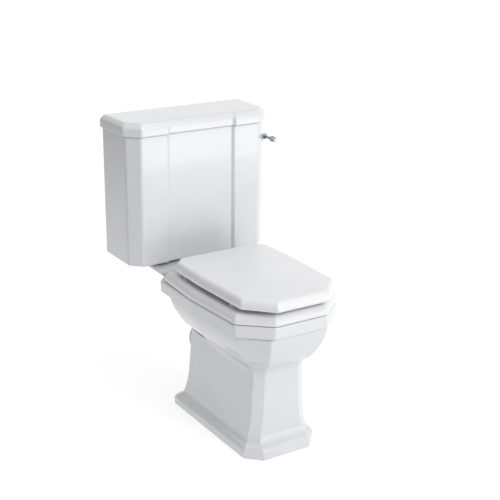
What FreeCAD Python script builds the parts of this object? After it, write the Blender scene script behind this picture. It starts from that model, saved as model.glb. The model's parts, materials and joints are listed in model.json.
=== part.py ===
"""Close coupled toilet: vitreous china pan and cistern, seat, flush siphon and fill valve.

Frame: millimetres, +Z up, the pan's nose points to -Y, the cistern's back is the +Y side.
The origin is on the floor at the centre of the pan's foot, on the plane of symmetry.
"""
import FreeCAD, Part
import math
import os
import re
import Sketcher

DOC = FreeCAD.newDocument("close_coupled_toilet")
SHEET = DOC.addObject("Spreadsheet::Sheet", "Sheet")

DIMENSIONS = {
    # shared gaps: cuts run past a surface by the overcut
    "overcut": 1, "fit_gap": 0.1, "running_gap": 0.06, "rest_gap": 0.3,
    # share of an inset by which the corners of an eight-sided outline move along their edge
    "corner_share": 0.4, "nose_share": 0.45,
    # foot, moulding and pedestal of the pan
    "foot_half_width": 114.5, "foot_half_length": 220, "foot_chamfer": 40, "foot_band": 23,
    "foot_back_chamfer": 12, "moulding_top": 50, "moulding_step": 7,
    "base_half_width": 94, "base_front": 191, "base_back": 188, "base_nose": 68, "base_shoulder": 167,
    "waist": 140, "waist_half_width": 84, "waist_front": 189, "waist_back": 178, "waist_nose": 57,
    "pedestal_top": 250, "pedestal_half_width": 80, "pedestal_front": 188, "pedestal_back": 170,
    "pedestal_nose": 52, "pedestal_shoulder": 169, "pedestal_back_chamfer": 8,
    "china_wall": 13, "web": 12, "web_height": 130, "web_margin": 20, "foot_wall": 22,
    "basin_wall": 11, "basin_top": 402, "gallery_floor": 386, "gallery_height": 12,
    "gallery_tail_x": 100, "gallery_tail_y": 150,
    # bowl and rim
    "rim_height": 410, "rim_band": 34, "bowl_radius": 137,
    "bowl_half_width": 164, "bowl_front": 271, "bowl_nose": 89, "bowl_shoulder_x": 154,
    "bowl_shoulder_y": 201, "bowl_hip_x": 160, "bowl_hip_y": 150, "bowl_back": 183,
    "bowl_back_x": 130, "bowl_nose_share": 0.445, "bowl_shoulder_share": 0.384,
    "bowl_back_share": 1.2,
    "rim_half_width": 172, "rim_nose_x": 80, "rim_nose_y": 275, "rim_shoulder_x": 161,
    "rim_shoulder_y": 205, "rim_hip_y": 10, "rim_back_x": 168, "rim_tail_x": 140,
    "rim_tail_y": 212, "rim_tail_depth": 29,
    "mouth_half_width": 122, "mouth_half_length": 166, "mouth_y": 66,
    "basin_middle": 300, "basin_middle_y": 50, "basin_middle_half_width": 92,
    "basin_middle_half_length": 136, "basin_low": 200, "basin_low_y": 6, "basin_low_half_width": 56,
    "basin_low_half_length": 66, "sump_height": 150, "sump_y": 5, "sump_half_width": 43,
    "sump_half_length": 46,
    # trap, from the sump up over the weir and down to the outlet
    "trap_radius": 33, "trap_wall": 9, "trap_start": 140, "trap_start_y": 8, "weir_height": 222,
    "weir_y": 100, "outlet_bend_y": 190, "knee_swell": 1,
    # rear deck that carries the cistern and the seat
    "deck_height": 430, "deck_half_width": 157, "deck_back_half_width": 153, "deck_front": 186,
    "deck_root": 177, "deck_back": 395, "deck_edge": 6, "neck_half_width": 62, "neck_front": 60,
    "neck_root": 168, "neck_base": 245, "neck_top": 380, "neck_flare": 85, "neck_back": 355,
    "outlet_radius": 51, "outlet_bore": 42, "outlet_height": 190, "outlet_end": 230,
    "outlet_start": 166, "collar_radius": 56, "collar_end": 180, "outlet_depth": 45,
    "inlet_radius": 36, "inlet_y": 325, "inlet_depth": 55, "socket_radius": 52,
    "socket_depth": 12, "channel_radius": 20, "channel_start": 80, "channel_height": 388,
    # cistern and its lid
    "cistern_half_width": 225, "cistern_back": 415, "cistern_depth": 180, "cistern_chamfer": 33,
    "cistern_base": 436, "cistern_top": 813, "cistern_wall": 10, "cistern_floor": 12,
    "cistern_inner_chamfer": 29, "panel_half_width": 105, "panel_recess": 8,
    "siphon_hole_radius": 22.5, "valve_hole_radius": 13,
    "cover_half_width": 232.5, "cover_overhang": 7.5, "cover_chamfer": 34.7, "cover_top": 851,
    "cover_band": 24, "cover_bevel": 12, "cover_back_share": 0.3, "cover_hollow": 20,
    "cover_hollow_chamfer": 31.5, "cover_hollow_depth": 23, "cover_lift": 0.5,
    "wall_hole_x": 130, "wall_hole_z": 740, "wall_hole_radius": 4,
    # seat
    "ring_base": 412, "ring_edge": 14, "ring_top": 440, "ring_bevel": 12,
    "ring_back_x": 163, "ring_back_y": 173, "ring_notch_x": 118, "ring_notch_y": 151,
    "hole_nose_x": 49, "hole_nose_y": 214, "hole_shoulder_x": 100, "hole_shoulder_y": 128,
    "hole_half_width": 108, "hole_hip_y": 21, "hole_back_x": 97, "hole_back_y": 51, "hole_tail_y": 92,
    "lid_base": 454, "lid_edge": 14, "lid_top": 482, "lid_bevel": 9, "lid_half_width": 158,
    "lid_nose_x": 82, "lid_nose_y": 286, "lid_shoulder_x": 150, "lid_shoulder_y": 215,
    "lid_back_x": 154, "lid_back_y": 118, "lid_tail_x": 126, "lid_tail_y": 150,
    "hinge_y": 169, "hinge_height": 446, "bar_radius": 4, "bar_half_length": 108, "knuckle_radius": 8,
    "post_x": 77.5, "post_half_width": 7, "post_foot_radius": 10.5, "post_foot": 5,
    "ring_arm_x": 56, "lid_arm_x": 97, "arm_width": 16, "leaf": 4, "leaf_length": 56,
    "leaf_root": 2, "leaf_screw_edge": 8, "leaf_screw_pitch": 16,
    "screw_radius": 1.5, "screw_head": 1.5, "screw_length": 14, "stud_radius": 3, "tap_depth": 7,
    "sleeve_radius": 7, "sleeve_depth": 26, "sleeve_floor": 2,
    "buffer_radius": 9, "ring_buffer_x": 140, "ring_buffer_y": 120, "ring_rear_buffer_x": 146,
    "ring_rear_buffer_y": 100, "lid_buffer_x": 132, "lid_buffer_y": 150, "lid_rear_buffer_x": 136,
    "lid_rear_buffer_y": 85,
    # flush lever and siphon
    "lever_y": 287, "lever_height": 755, "spindle_radius": 5, "spindle_inner_x": 94,
    "spindle_outer_x": 250, "bush_radius": 8.8, "bush_inside": 22, "bush_outside": 4,
    "lever_nut_radius": 12, "lever_nut_height": 7, "rose_radius": 17, "rose_depth": 16,
    "rose_flange": 4, "rose_dome_radius": 15, "rose_tip_radius": 11, "hub_gap": 1,
    "hub_radius": 9, "hub_length": 10, "arm_tip_radius": 4, "arm_root_radius": 6,
    "knob_reach": 44, "knob_radius": 9,
    "crank_x": 96, "crank_thickness": 6, "crank_length": 46, "crank_half_height": 5,
    "siphon_radius": 21.5, "siphon_wall": 3, "siphon_flange_radius": 34, "siphon_flange": 6,
    "siphon_washer": 2, "siphon_tail_end": 400, "bell_x": 110, "bell_radius": 43,
    "bell_base": 470, "bridge_base": 630, "bridge_top": 665, "bridge_half_depth": 24,
    "rod_radius": 3, "rod_gap": 0.4, "pin_gap": 0.5, "pin_overhang": 2, "crown_radius": 3.5,
    "disc_height": 476, "disc_gap": 1.5, "disc_thickness": 3,
    # fill valve
    "valve_x": 172, "valve_y": 366, "valve_tail_radius": 10.4, "valve_tail_end": 406,
    "valve_shank_radius": 12, "valve_nut_radius": 17, "valve_nut_height": 8,
    "valve_body_radius": 10, "valve_flange_radius": 17, "valve_flange": 5, "valve_washer": 2,
    "valve_head_height": 712, "valve_head_radius": 12, "valve_head_length": 30,
    "cheek_gap": 5, "cheek_thickness": 4, "cheek_root": 14, "cheek_reach": 5, "cheek_drop": 5,
    "cheek_rise": 8, "piston_radius": 4, "piston_length": 17, "piston_start": 5.5,
    "piston_floor": 1, "pivot_pin_radius": 2, "pivot_pin_length": 20,
    "float_pivot_x": 143, "float_pivot_height": 700, "float_x": 71, "float_height": 695,
    "float_radius": 36, "float_grip": 8, "arm_boss_radius": 4.5, "arm_boss_width": 8,
    "arm_rod_radius": 3, "finger_near": 1, "finger_far": 5.2, "finger_half_width": 3,
    "finger_rise": 3,
    # coupling and floor fixings
    "plate_thickness": 3, "plate_margin": 16, "plate_half_depth": 28, "plate_gap": 0.5,
    "stud_x": 105, "coupling_stud_radius": 4, "stud_hole_radius": 6, "stud_end": 388,
    "stud_seat": 408, "stud_seat_radius": 18.5, "stud_seat_depth": 30, "stud_washer_radius": 11,
    "stud_washer": 2.5, "wing_boss_radius": 8, "wing_nut_height": 10, "wing_reach": 16,
    "wing_half_thickness": 1.5, "wing_drop": 4, "wing_shoulder": 2,
    "nut_radius": 33, "nut_height": 15, "doughnut_gap": 1,
    "floor_screw_x": 103, "floor_screw_radius": 3.5, "floor_screw_start": 1.5,
    "floor_screw_gap": 1, "floor_head_radius": 7, "floor_head_height": 4,
    "cap_radius": 8.5, "cap_base": 26, "cap_skirt": 7, "cap_bevel": 3, "cap_gap": 0.5,
    "cap_seat_base": 22, "cap_seat_height": 24,
}

for row, (alias, value) in enumerate(DIMENSIONS.items(), start=1):
    SHEET.set(f"A{row}", alias)
    SHEET.set(f"B{row}", str(value))
    SHEET.setAlias(f"B{row}", alias)
DOC.recompute()

NODES = []

# Shares of the bowl's depth at which its outside and its hollow have a section.
BOWL_SHARES = (1, 0.9, 0.75, 0.55, 0.3)

TURN = {
    "Z": FreeCAD.Rotation(),
    "X": FreeCAD.Rotation(FreeCAD.Vector(0, 1, 0), 90),
    "Y": FreeCAD.Rotation(FreeCAD.Vector(1, 0, 0), -90),
}


# ---------------------------------------------------------------- helpers

def cell(text):
    """Expression text with every dimension's name pointing at its cell of the sheet."""
    return re.sub(r"[a-z]\w+", lambda m: f"Sheet.{m[0]}" if m[0] in DIMENSIONS else m[0], str(text))


def node(piece, label):
    """Make a piece a sub-part of the toilet under the name of its file."""
    piece.Label = label
    NODES.append(piece)
    return piece


def place(piece, at, turn="Z"):
    """Turn a piece's Z axis onto a row axis and bind its position."""
    piece.Placement = FreeCAD.Placement(FreeCAD.Vector(), TURN[turn])
    for letter, text in zip("xyz", at):
        piece.setExpression(f"Placement.Base.{letter}", cell(text))
    return piece


def cylinder(name, radius, length, at, turn="Z"):
    piece = DOC.addObject("Part::Cylinder", name)
    piece.setExpression("Radius", cell(radius))
    piece.setExpression("Height", cell(length))
    return place(piece, at, turn)


def cone(name, radius, end_radius, length, at, turn="Z"):
    piece = DOC.addObject("Part::Cone", name)
    piece.setExpression("Radius1", cell(radius))
    piece.setExpression("Radius2", cell(end_radius))
    piece.setExpression("Height", cell(length))
    return place(piece, at, turn)


def sphere(name, radius, at):
    piece = DOC.addObject("Part::Sphere", name)
    piece.setExpression("Radius", cell(radius))
    return place(piece, at)


def box(name, low, high):
    """Box between two corners, each three expressions."""
    piece = DOC.addObject("Part::Box", name)
    for side, start, end in zip(("Length", "Width", "Height"), low, high):
        piece.setExpression(side, cell(f"({end}) - ({start})"))
    return place(piece, low)


def prism(name, radius, length, at, sides=6):
    """Hexagonal bar, for nuts."""
    outline = DOC.addObject("Part::RegularPolygon", name + "_outline")
    outline.Polygon = sides
    outline.setExpression("Circumradius", cell(radius))
    place(outline, at)
    piece = DOC.addObject("Part::Extrusion", name)
    piece.Base = outline
    piece.DirMode = "Custom"
    piece.Dir = FreeCAD.Vector(0, 0, 1)
    piece.setExpression("LengthFwd", cell(length))
    piece.Solid = True
    return piece


def fuse(name, pieces):
    piece = DOC.addObject("Part::MultiFuse", name)
    piece.Shapes = pieces
    return piece


def chain(kind, name, base, tools):
    """Apply tools to a base one after another; the last step carries the name."""
    for index, tool in enumerate(tools):
        last = index == len(tools) - 1
        piece = DOC.addObject(kind, name if last else f"{name}_step_{index}")
        piece.Base = base
        piece.Tool = tool
        base = piece
    return base


def cut(name, base, tools):
    return chain("Part::Cut", name, base, tools)


def group(name, pieces):
    """Separate solids that share one node."""
    piece = DOC.addObject("Part::Compound", name)
    piece.Links = pieces
    return piece


def tube(name, radius, bore, length, at, turn="Z"):
    """Round tube or washer."""
    shell = cylinder(name + "_outside", radius, length, at, turn)
    return cut(name, shell, [cylinder(name + "_bore", bore, length, at, turn)])


def origin_plane(body, role):
    return next(plane for plane in body.Origin.OriginFeatures if plane.Role == role)


def polygon(body, name, height, corners):
    """Closed outline across the body at a height; every corner's x and y are bound to the sheet."""
    sketch = body.newObject("Sketcher::SketchObject", name)
    sketch.AttachmentSupport = [(origin_plane(body, "XY_Plane"), "")]
    sketch.MapMode = "FlatFace"
    sketch.setExpression("AttachmentOffset.Base.z", cell(height))
    count = len(corners)
    start = [FreeCAD.Vector(0, -100, 0)]
    turn = FreeCAD.Rotation(FreeCAD.Vector(0, 0, 1), 360 / count)
    while len(start) < count:
        start.append(turn.multVec(start[-1]))
    for index in range(count):
        sketch.addGeometry(Part.LineSegment(start[index], start[(index + 1) % count]))
    for index in range(count):
        sketch.addConstraint(Sketcher.Constraint("Coincident", index, 2, (index + 1) % count, 1))
    for index, corner in enumerate(corners):
        for kind, text, value in zip(("DistanceX", "DistanceY"), corner, start[index]):
            bound = sketch.addConstraint(Sketcher.Constraint(kind, -1, 1, index, 1, value))
            sketch.setExpression(f"Constraints[{bound}]", cell(text))
    return sketch


def mirrored(right_half):
    """Corners from nose to tail on the right, then back to the nose on the left."""
    return right_half + [(f"-({x})", y) for x, y in reversed(right_half)]


def oval(body, name, height, centre_y, half_width, half_length):
    """Ellipse across the body, longer from nose to tail."""
    sketch = body.newObject("Sketcher::SketchObject", name)
    sketch.AttachmentSupport = [(origin_plane(body, "XY_Plane"), "")]
    sketch.MapMode = "FlatFace"
    sketch.setExpression("AttachmentOffset.Base.z", cell(height))
    sketch.setExpression("AttachmentOffset.Base.y", cell(centre_y))
    centre = FreeCAD.Vector(0, 0, 0)
    curve = Part.Ellipse(FreeCAD.Vector(0, 60, 0), FreeCAD.Vector(-40, 0, 0), centre)
    sketch.addGeometry(curve)
    sketch.exposeInternalGeometry(0)
    sketch.addConstraint(Sketcher.Constraint("Coincident", 0, 3, -1, 1))
    sketch.addConstraint(Sketcher.Constraint("Vertical", 1))
    for line, text, value in ((1, half_length, 120), (2, half_width, 80)):
        bound = sketch.addConstraint(Sketcher.Constraint("Distance", line, 1, line, 2, value))
        sketch.setExpression(f"Constraints[{bound}]", cell(f"2 * ({text})"))
    return sketch


def loft(body, name, sections, cutting=False, ruled=True):
    kind = "PartDesign::SubtractiveLoft" if cutting else "PartDesign::AdditiveLoft"
    feature = body.newObject(kind, name)
    feature.Profile = sections[0]
    feature.Sections = sections[1:]
    feature.Ruled = ruled
    return feature


def pad(body, name, sketch, length):
    feature = body.newObject("PartDesign::Pad", name)
    feature.Profile = sketch
    feature.setExpression("Length", cell(length))
    return feature


def pocket_up(body, name, sketch, length):
    """Pocket that cuts upwards from its sketch, and is checked to have cut something."""
    DOC.recompute()
    before = body.Shape.Volume
    feature = body.newObject("PartDesign::Pocket", name)
    feature.Profile = sketch
    feature.Reversed = True
    feature.setExpression("Length", cell(length))
    DOC.recompute()
    if body.Shape.Volume > before - 1:
        raise RuntimeError(f"{name} cuts nothing")
    return feature


def sided(text):
    """Right and left copies of a piece's x position, each with a name ending."""
    return (("right", text), ("left", f"-({text})"))


# ---------------------------------------------------------------- the pan

def foot_outline(inset):
    return mirrored([
        (f"foot_half_width - foot_chamfer - corner_share * ({inset})", f"-(foot_half_length - ({inset}))"),
        (f"foot_half_width - ({inset})", f"-(foot_half_length - foot_chamfer - corner_share * ({inset}))"),
        (f"foot_half_width - ({inset})", f"foot_half_length - foot_back_chamfer - ({inset})"),
        (f"foot_half_width - foot_back_chamfer - ({inset})", f"foot_half_length - ({inset})"),
    ])


def pedestal_outline(half_width, front, back, nose, shoulder, inset="0"):
    return mirrored([
        (f"{nose} - corner_share * ({inset})", f"-({front} - ({inset}))"),
        (f"{half_width} - ({inset})", f"-({shoulder} - corner_share * ({inset}))"),
        (f"{half_width} - ({inset})", f"{back} - pedestal_back_chamfer - ({inset})"),
        (f"{half_width} - pedestal_back_chamfer - ({inset})", f"{back} - ({inset})"),
    ])


def bowl_outline(share, inset="0"):
    """Octagon of the bowl at a share of its depth; every face follows one arc inwards."""
    depth = f"((rim_height - rim_band - pedestal_top) * {share})"
    inward = f"(bowl_radius - sqrt(bowl_radius * bowl_radius - {depth} * {depth}) + {inset})"
    return depth, mirrored([
        (f"bowl_nose - bowl_nose_share * {inward}", f"-(bowl_front - {inward})"),
        (f"bowl_shoulder_x - {inward}", f"-(bowl_shoulder_y - bowl_shoulder_share * {inward})"),
        (f"bowl_half_width - {inward}", "rim_hip_y"),
        (f"bowl_hip_x - {inward}", f"bowl_hip_y - {inward}"),
        (f"bowl_back_x - {inward}", f"bowl_back - bowl_back_share * {inward}"),
    ])


def rim_outline(inset="0", tail_x="rim_tail_x", tail_y="rim_tail_y"):
    """Octagon of the rim, with a slight bend at the middle of each side."""
    return mirrored([
        (f"rim_nose_x - nose_share * ({inset})", f"-(rim_nose_y - ({inset}))"),
        (f"rim_shoulder_x - ({inset})", f"-(rim_shoulder_y - corner_share * ({inset}))"),
        (f"rim_half_width - ({inset})", "rim_hip_y"),
        (f"rim_back_x - ({inset})", f"{tail_y} - rim_tail_depth"),
        (tail_x, tail_y),
    ])


def pan_casting():
    """Outside of the casting with its bowl and the two hollows under the foot."""
    body = DOC.addObject("PartDesign::Body", "pan_casting")
    pad(body, "foot", polygon(body, "foot_sketch", "0", foot_outline("0")), "foot_band")
    loft(body, "moulding", [
        polygon(body, "moulding_low", "foot_band", foot_outline("moulding_step")),
        polygon(body, "moulding_high", "moulding_top", pedestal_outline(
            "base_half_width", "base_front", "base_back", "base_nose", "base_shoulder")),
    ])
    loft(body, "pedestal", [
        polygon(body, "pedestal_low", "moulding_top", pedestal_outline(
            "base_half_width", "base_front", "base_back", "base_nose", "base_shoulder")),
        polygon(body, "pedestal_waist", "waist", pedestal_outline(
            "waist_half_width", "waist_front", "waist_back", "waist_nose", "base_shoulder")),
        polygon(body, "pedestal_high", "pedestal_top", pedestal_outline(
            "pedestal_half_width", "pedestal_front", "pedestal_back", "pedestal_nose",
            "pedestal_shoulder")),
    ])
    sections = []
    for index, share in enumerate((*BOWL_SHARES, 0)):
        depth, corners = bowl_outline(share)
        height = f"rim_height - rim_band - {depth}"
        sections.append(polygon(body, f"bowl_section_{index}", height, corners))
    loft(body, "bowl_outside", sections)
    pad(body, "rim", polygon(body, "rim_sketch", "rim_height - rim_band", rim_outline()), "rim_band")
    neck_low = mirrored([("neck_half_width", "neck_front"), ("neck_half_width", "neck_root")])
    neck_high = mirrored([("neck_flare", "neck_front"), ("neck_flare", "neck_back")])
    loft(body, "neck", [
        polygon(body, "neck_low", "neck_base", neck_low),
        polygon(body, "neck_high", "neck_top", neck_high),
    ])
    deck_high = mirrored([("deck_half_width", "deck_front"), ("deck_back_half_width", "deck_back")])
    deck_low = mirrored([("neck_flare", "deck_root"), ("neck_flare", "neck_back")])
    deck_top = polygon(body, "deck_high", "deck_height - deck_edge", deck_high)
    loft(body, "deck_flare", [polygon(body, "deck_low", "neck_top", deck_low), deck_top])
    pad(body, "deck", polygon(body, "deck_sketch", "deck_height - deck_edge", deck_high), "deck_edge")
    hollow_out(body)
    return body


def basin_space():
    """The space inside the bowl, from above the rim down to the sump."""
    body = DOC.addObject("PartDesign::Body", "basin_space")
    loft(body, "basin_inside", bowl_ovals(body, "bowl", "0", "rim_height + overcut", "sump_height"),
         ruled=False)
    return body


def bowl_ovals(body, name, grow, top, bottom):
    """Sections of the basin, each grown by one amount all round."""
    return [
        oval(body, f"{name}_mouth", top, "-mouth_y", f"mouth_half_width + {grow}",
             f"mouth_half_length + {grow}"),
        oval(body, f"{name}_middle", "basin_middle", "-basin_middle_y",
             f"basin_middle_half_width + {grow}", f"basin_middle_half_length + {grow}"),
        oval(body, f"{name}_low", "basin_low", "-basin_low_y",
             f"basin_low_half_width + {grow}", f"basin_low_half_length + {grow}"),
        oval(body, f"{name}_sump", bottom, "sump_y", f"sump_half_width + {grow}",
             f"sump_half_length + {grow}"),
    ]


def hollow_out(body):
    """Cast hollow below the basin, open under the foot, with a web along the middle."""
    base = ("base_half_width", "base_front", "base_back", "base_nose", "base_shoulder")
    waist = ("waist_half_width", "waist_front", "waist_back", "waist_nose", "base_shoulder")
    high = ("pedestal_half_width", "pedestal_front", "pedestal_back", "pedestal_nose",
            "pedestal_shoulder")
    loft(body, "hollow_below", [
        polygon(body, "hollow_foot", "-overcut", foot_outline("foot_wall")),
        polygon(body, "hollow_base", "moulding_top", pedestal_outline(*base, inset="china_wall")),
        polygon(body, "hollow_waist", "waist", pedestal_outline(*waist, inset="china_wall")),
        polygon(body, "hollow_pedestal", "pedestal_top + 2 * overcut",
                pedestal_outline(*high, inset="china_wall")),
    ], cutting=True)
    sections = []
    for index, share in enumerate((*BOWL_SHARES, 0.1)):
        depth, corners = bowl_outline(share, "china_wall")
        height = f"rim_height - rim_band - {depth}"
        sections.append(polygon(body, f"hollow_bowl_{index}", height, corners))
    loft(body, "hollow_bowl", sections, cutting=True)
    gallery = rim_outline("china_wall", "gallery_tail_x", "gallery_tail_y")
    pocket_up(body, "flush_gallery", polygon(body, "gallery_sketch", "gallery_floor", gallery),
              "gallery_height")
    web = mirrored([("web / 2", "-(base_front - web_margin)"), ("web / 2", "base_back - web_margin")])
    pad(body, "foot_web", polygon(body, "web_sketch", "0", web), "web_height")
    loft(body, "basin", bowl_ovals(body, "basin", "basin_wall", "basin_top",
                                   "sump_height - basin_wall"), ruled=False)


def trap_pieces(name, radius):
    """Round passage from the sump up over the weir and down to the outlet."""
    sump = ("trap_start_y", "trap_start")
    weir = ("weir_y", "weir_height")
    outlet = ("outlet_bend_y", "outlet_height")
    knee = f"{radius} + knee_swell"
    pieces = [sphere(f"{name}_sump", knee, ("0", *sump)), sphere(f"{name}_weir", knee, ("0", *weir))]
    for label, (y, z), (next_y, next_z) in (("limb", sump, weir), ("down", weir, outlet)):
        length = f"sqrt(({next_y} - {y}) ^ 2 + ({next_z} - {z}) ^ 2)"
        limb = cylinder(f"{name}_{label}", radius, length, ("0", y, z))
        lean = math.atan2(DIMENSIONS[next_y] - DIMENSIONS[y], DIMENSIONS[next_z] - DIMENSIONS[z])
        limb.Placement.Rotation = FreeCAD.Rotation(FreeCAD.Vector(1, 0, 0), -math.degrees(lean))
        pieces.insert(1 + 2 * (label == "down"), limb)
    return pieces


def pan_passages():
    """Outlet bore, flush inlet with its channel, and the holes for seat, studs and screws."""
    tools = [
        cylinder("outlet_hole", "outlet_bore", "outlet_depth + overcut",
                 ("0", "outlet_end - outlet_depth", "outlet_height"), "Y"),
        cylinder("inlet_hole", "inlet_radius", "inlet_depth + overcut",
                 ("0", "inlet_y", "deck_height - inlet_depth")),
        cylinder("inlet_socket", "socket_radius", "socket_depth + overcut",
                 ("0", "inlet_y", "deck_height - socket_depth")),
        cylinder("flush_channel", "channel_radius", "inlet_y - channel_start",
                 ("0", "channel_start", "channel_height"), "Y"),
    ]
    for side, x in sided("post_x"):
        tools.append(cylinder(f"sleeve_hole_{side}", "sleeve_radius + fit_gap", "sleeve_depth + overcut",
                              (x, "hinge_y", "rim_height - sleeve_depth")))
    for side, x in sided("stud_x"):
        tools.append(cylinder(f"stud_hole_{side}", "stud_hole_radius", "deck_height - stud_end + overcut",
                              (x, "inlet_y", "stud_end")))
        tools.append(cylinder(f"stud_spot_face_{side}", "stud_seat_radius", "stud_seat_depth",
                              (x, "inlet_y", "stud_seat - stud_seat_depth")))
    for side, x in sided("floor_screw_x"):
        tools.append(cylinder(f"screw_hole_{side}", "floor_screw_radius + floor_screw_gap",
                              "cap_seat_base + 2 * overcut", (x, "0", "-overcut")))
        tools.append(cylinder(f"screw_seat_{side}", "cap_radius + cap_gap", "cap_seat_height",
                              (x, "0", "cap_seat_base")))
    return tools


def pan():
    casting = pan_casting()
    start = ("0", "outlet_start", "outlet_height")
    spigot = cylinder("outlet_spigot", "outlet_radius", "outlet_end - outlet_start", start, "Y")
    collar = cylinder("outlet_collar", "collar_radius", "collar_end - outlet_start", start, "Y")
    walls = trap_pieces("trap_wall", "trap_radius + trap_wall")
    blank = chain("Part::Fuse", "pan_blank", casting, [spigot, collar, *walls])
    spaces = [basin_space(), *trap_pieces("trap_bore", "trap_radius"), *pan_passages()]
    return node(cut("pan", blank, spaces), "pan")


# ---------------------------------------------------------------- cistern

def cistern_outline(half_width, front, chamfer, back, recess="panel_recess"):
    """Plan of the cistern: chamfered front corners and a recessed centre panel."""
    return mirrored([
        ("panel_half_width", f"{front} + {recess}"),
        ("panel_half_width", front),
        (f"{half_width} - {chamfer}", front),
        (half_width, f"{front} + {chamfer}"),
        (half_width, back),
    ])


def cistern_tank():
    body = DOC.addObject("PartDesign::Body", "tank_casting")
    front = "(cistern_back - cistern_depth)"
    outline = cistern_outline("cistern_half_width", front, "cistern_chamfer", "cistern_back")
    tall = "cistern_top - cistern_base"
    pad(body, "tank", polygon(body, "tank_sketch", "cistern_base", outline), tall)
    inside = cistern_outline("(cistern_half_width - cistern_wall)", f"({front} + cistern_wall)",
                             "cistern_inner_chamfer", "cistern_back - cistern_wall")
    level = "cistern_base + cistern_floor"
    pocket_up(body, "tank_inside", polygon(body, "tank_inside_sketch", level, inside), tall)
    below = "cistern_base - overcut"
    through_floor = "cistern_floor + 2 * overcut"
    through_wall = "cistern_wall + 2 * overcut"
    tools = [
        cylinder("siphon_hole", "siphon_hole_radius", through_floor, ("0", "inlet_y", below)),
        cylinder("valve_hole", "valve_hole_radius", through_floor, ("-valve_x", "valve_y", below)),
        cylinder("lever_hole", "bush_radius + rest_gap", through_wall,
                 ("cistern_half_width - cistern_wall - overcut", "lever_y", "lever_height"), "X"),
    ]
    for side, x in sided("wall_hole_x"):
        tools.append(cylinder(f"wall_hole_{side}", "wall_hole_radius", through_wall,
                              (x, "cistern_back - cistern_wall - overcut", "wall_hole_z"), "Y"))
    return node(cut("cistern_tank", body, tools), "cistern_tank")


def cistern_lid():
    body = DOC.addObject("PartDesign::Body", "cistern_cover")
    front = "(cistern_back - cistern_depth - cover_overhang)"
    low = "cistern_top + cover_lift"

    def outline(inset):
        return cistern_outline(f"(cover_half_width - {inset})", f"({front} + {inset})",
                               "cover_chamfer", f"cistern_back - cover_back_share * {inset}")

    pad(body, "band", polygon(body, "band_sketch", low, outline("0")), "cover_band")
    loft(body, "bevel", [
        polygon(body, "bevel_low", f"{low} + cover_band", outline("0")),
        polygon(body, "bevel_high", "cover_top", outline("cover_bevel")),
    ])
    inside = mirrored([
        ("cover_half_width - cover_hollow - cover_hollow_chamfer", f"{front} + cover_hollow"),
        ("cover_half_width - cover_hollow", f"{front} + cover_hollow + cover_hollow_chamfer"),
        ("cover_half_width - cover_hollow", "cistern_back - cover_hollow"),
    ])
    pocket_up(body, "hollow", polygon(body, "hollow_sketch", f"{low} - overcut", inside),
              "cover_hollow_depth + overcut")
    return node(body, "cistern_lid")


# ---------------------------------------------------------------- seat

def ring_outline(inset):
    """Outline of the ring: the rim's octagon at the front, and a notch for the hinge at the back."""
    return mirrored([
        (f"rim_nose_x - nose_share * {inset}", f"-(rim_nose_y - {inset})"),
        (f"rim_shoulder_x - {inset}", f"-(rim_shoulder_y - corner_share * {inset})"),
        (f"rim_half_width - {inset}", "rim_hip_y"),
        (f"ring_back_x - {inset}", f"ring_back_y - {inset}"),
        (f"ring_notch_x + corner_share * {inset}", f"ring_back_y - {inset}"),
        (f"ring_notch_x + corner_share * {inset}", f"ring_notch_y - corner_share * {inset}"),
    ])


def seat_ring():
    body = DOC.addObject("PartDesign::Body", "ring_board")
    low = ring_outline("0")
    high = ring_outline("ring_bevel")
    edge = "ring_base + ring_edge"
    pad(body, "edge", polygon(body, "edge_sketch", "ring_base", low), "ring_edge")
    loft(body, "bevel", [polygon(body, "bevel_low", edge, low),
                         polygon(body, "bevel_high", "ring_top", high)])
    hole = mirrored([
        ("hole_nose_x", "-hole_nose_y"),
        ("hole_shoulder_x", "-hole_shoulder_y"),
        ("hole_half_width", "-hole_hip_y"),
        ("hole_back_x", "hole_back_y"),
        ("hole_nose_x", "hole_tail_y"),
    ])
    pocket_up(body, "hole", polygon(body, "hole_sketch", "ring_base - overcut", hole),
              "ring_top - ring_base + 2 * overcut")
    return node(body, "seat_ring")


def seat_lid():
    body = DOC.addObject("PartDesign::Body", "lid_board")

    def outline(inset):
        return mirrored([
            (f"lid_nose_x - nose_share * {inset}", f"-(lid_nose_y - {inset})"),
            (f"lid_shoulder_x - {inset}", f"-(lid_shoulder_y - corner_share * {inset})"),
            (f"lid_half_width - {inset}", "-rim_hip_y"),
            (f"lid_back_x - {inset}", f"lid_back_y - corner_share * {inset}"),
            (f"lid_tail_x - nose_share * {inset}", f"lid_tail_y - {inset}"),
        ])

    edge = "lid_base + lid_edge"
    pad(body, "edge", polygon(body, "edge_sketch", "lid_base", outline("0")), "lid_edge")
    loft(body, "bevel", [polygon(body, "bevel_low", edge, outline("0")),
                         polygon(body, "bevel_high", "lid_top", outline("lid_bevel"))])
    return node(body, "seat_lid")


def buffers(label, places, base, top):
    """Rubber pads that hold one board off the surface below it."""
    pads = []
    for index, (x, y) in enumerate(places):
        for side, across in sided(x):
            pads.append(cylinder(f"{label}_{index}_{side}", "buffer_radius", f"{top} - ({base})",
                                 (across, y, base)))
    return node(group(label, pads), label)


def leaf_screw_y(step):
    return f"hinge_y - leaf_length + leaf_screw_edge + {step} * leaf_screw_pitch"


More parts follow.
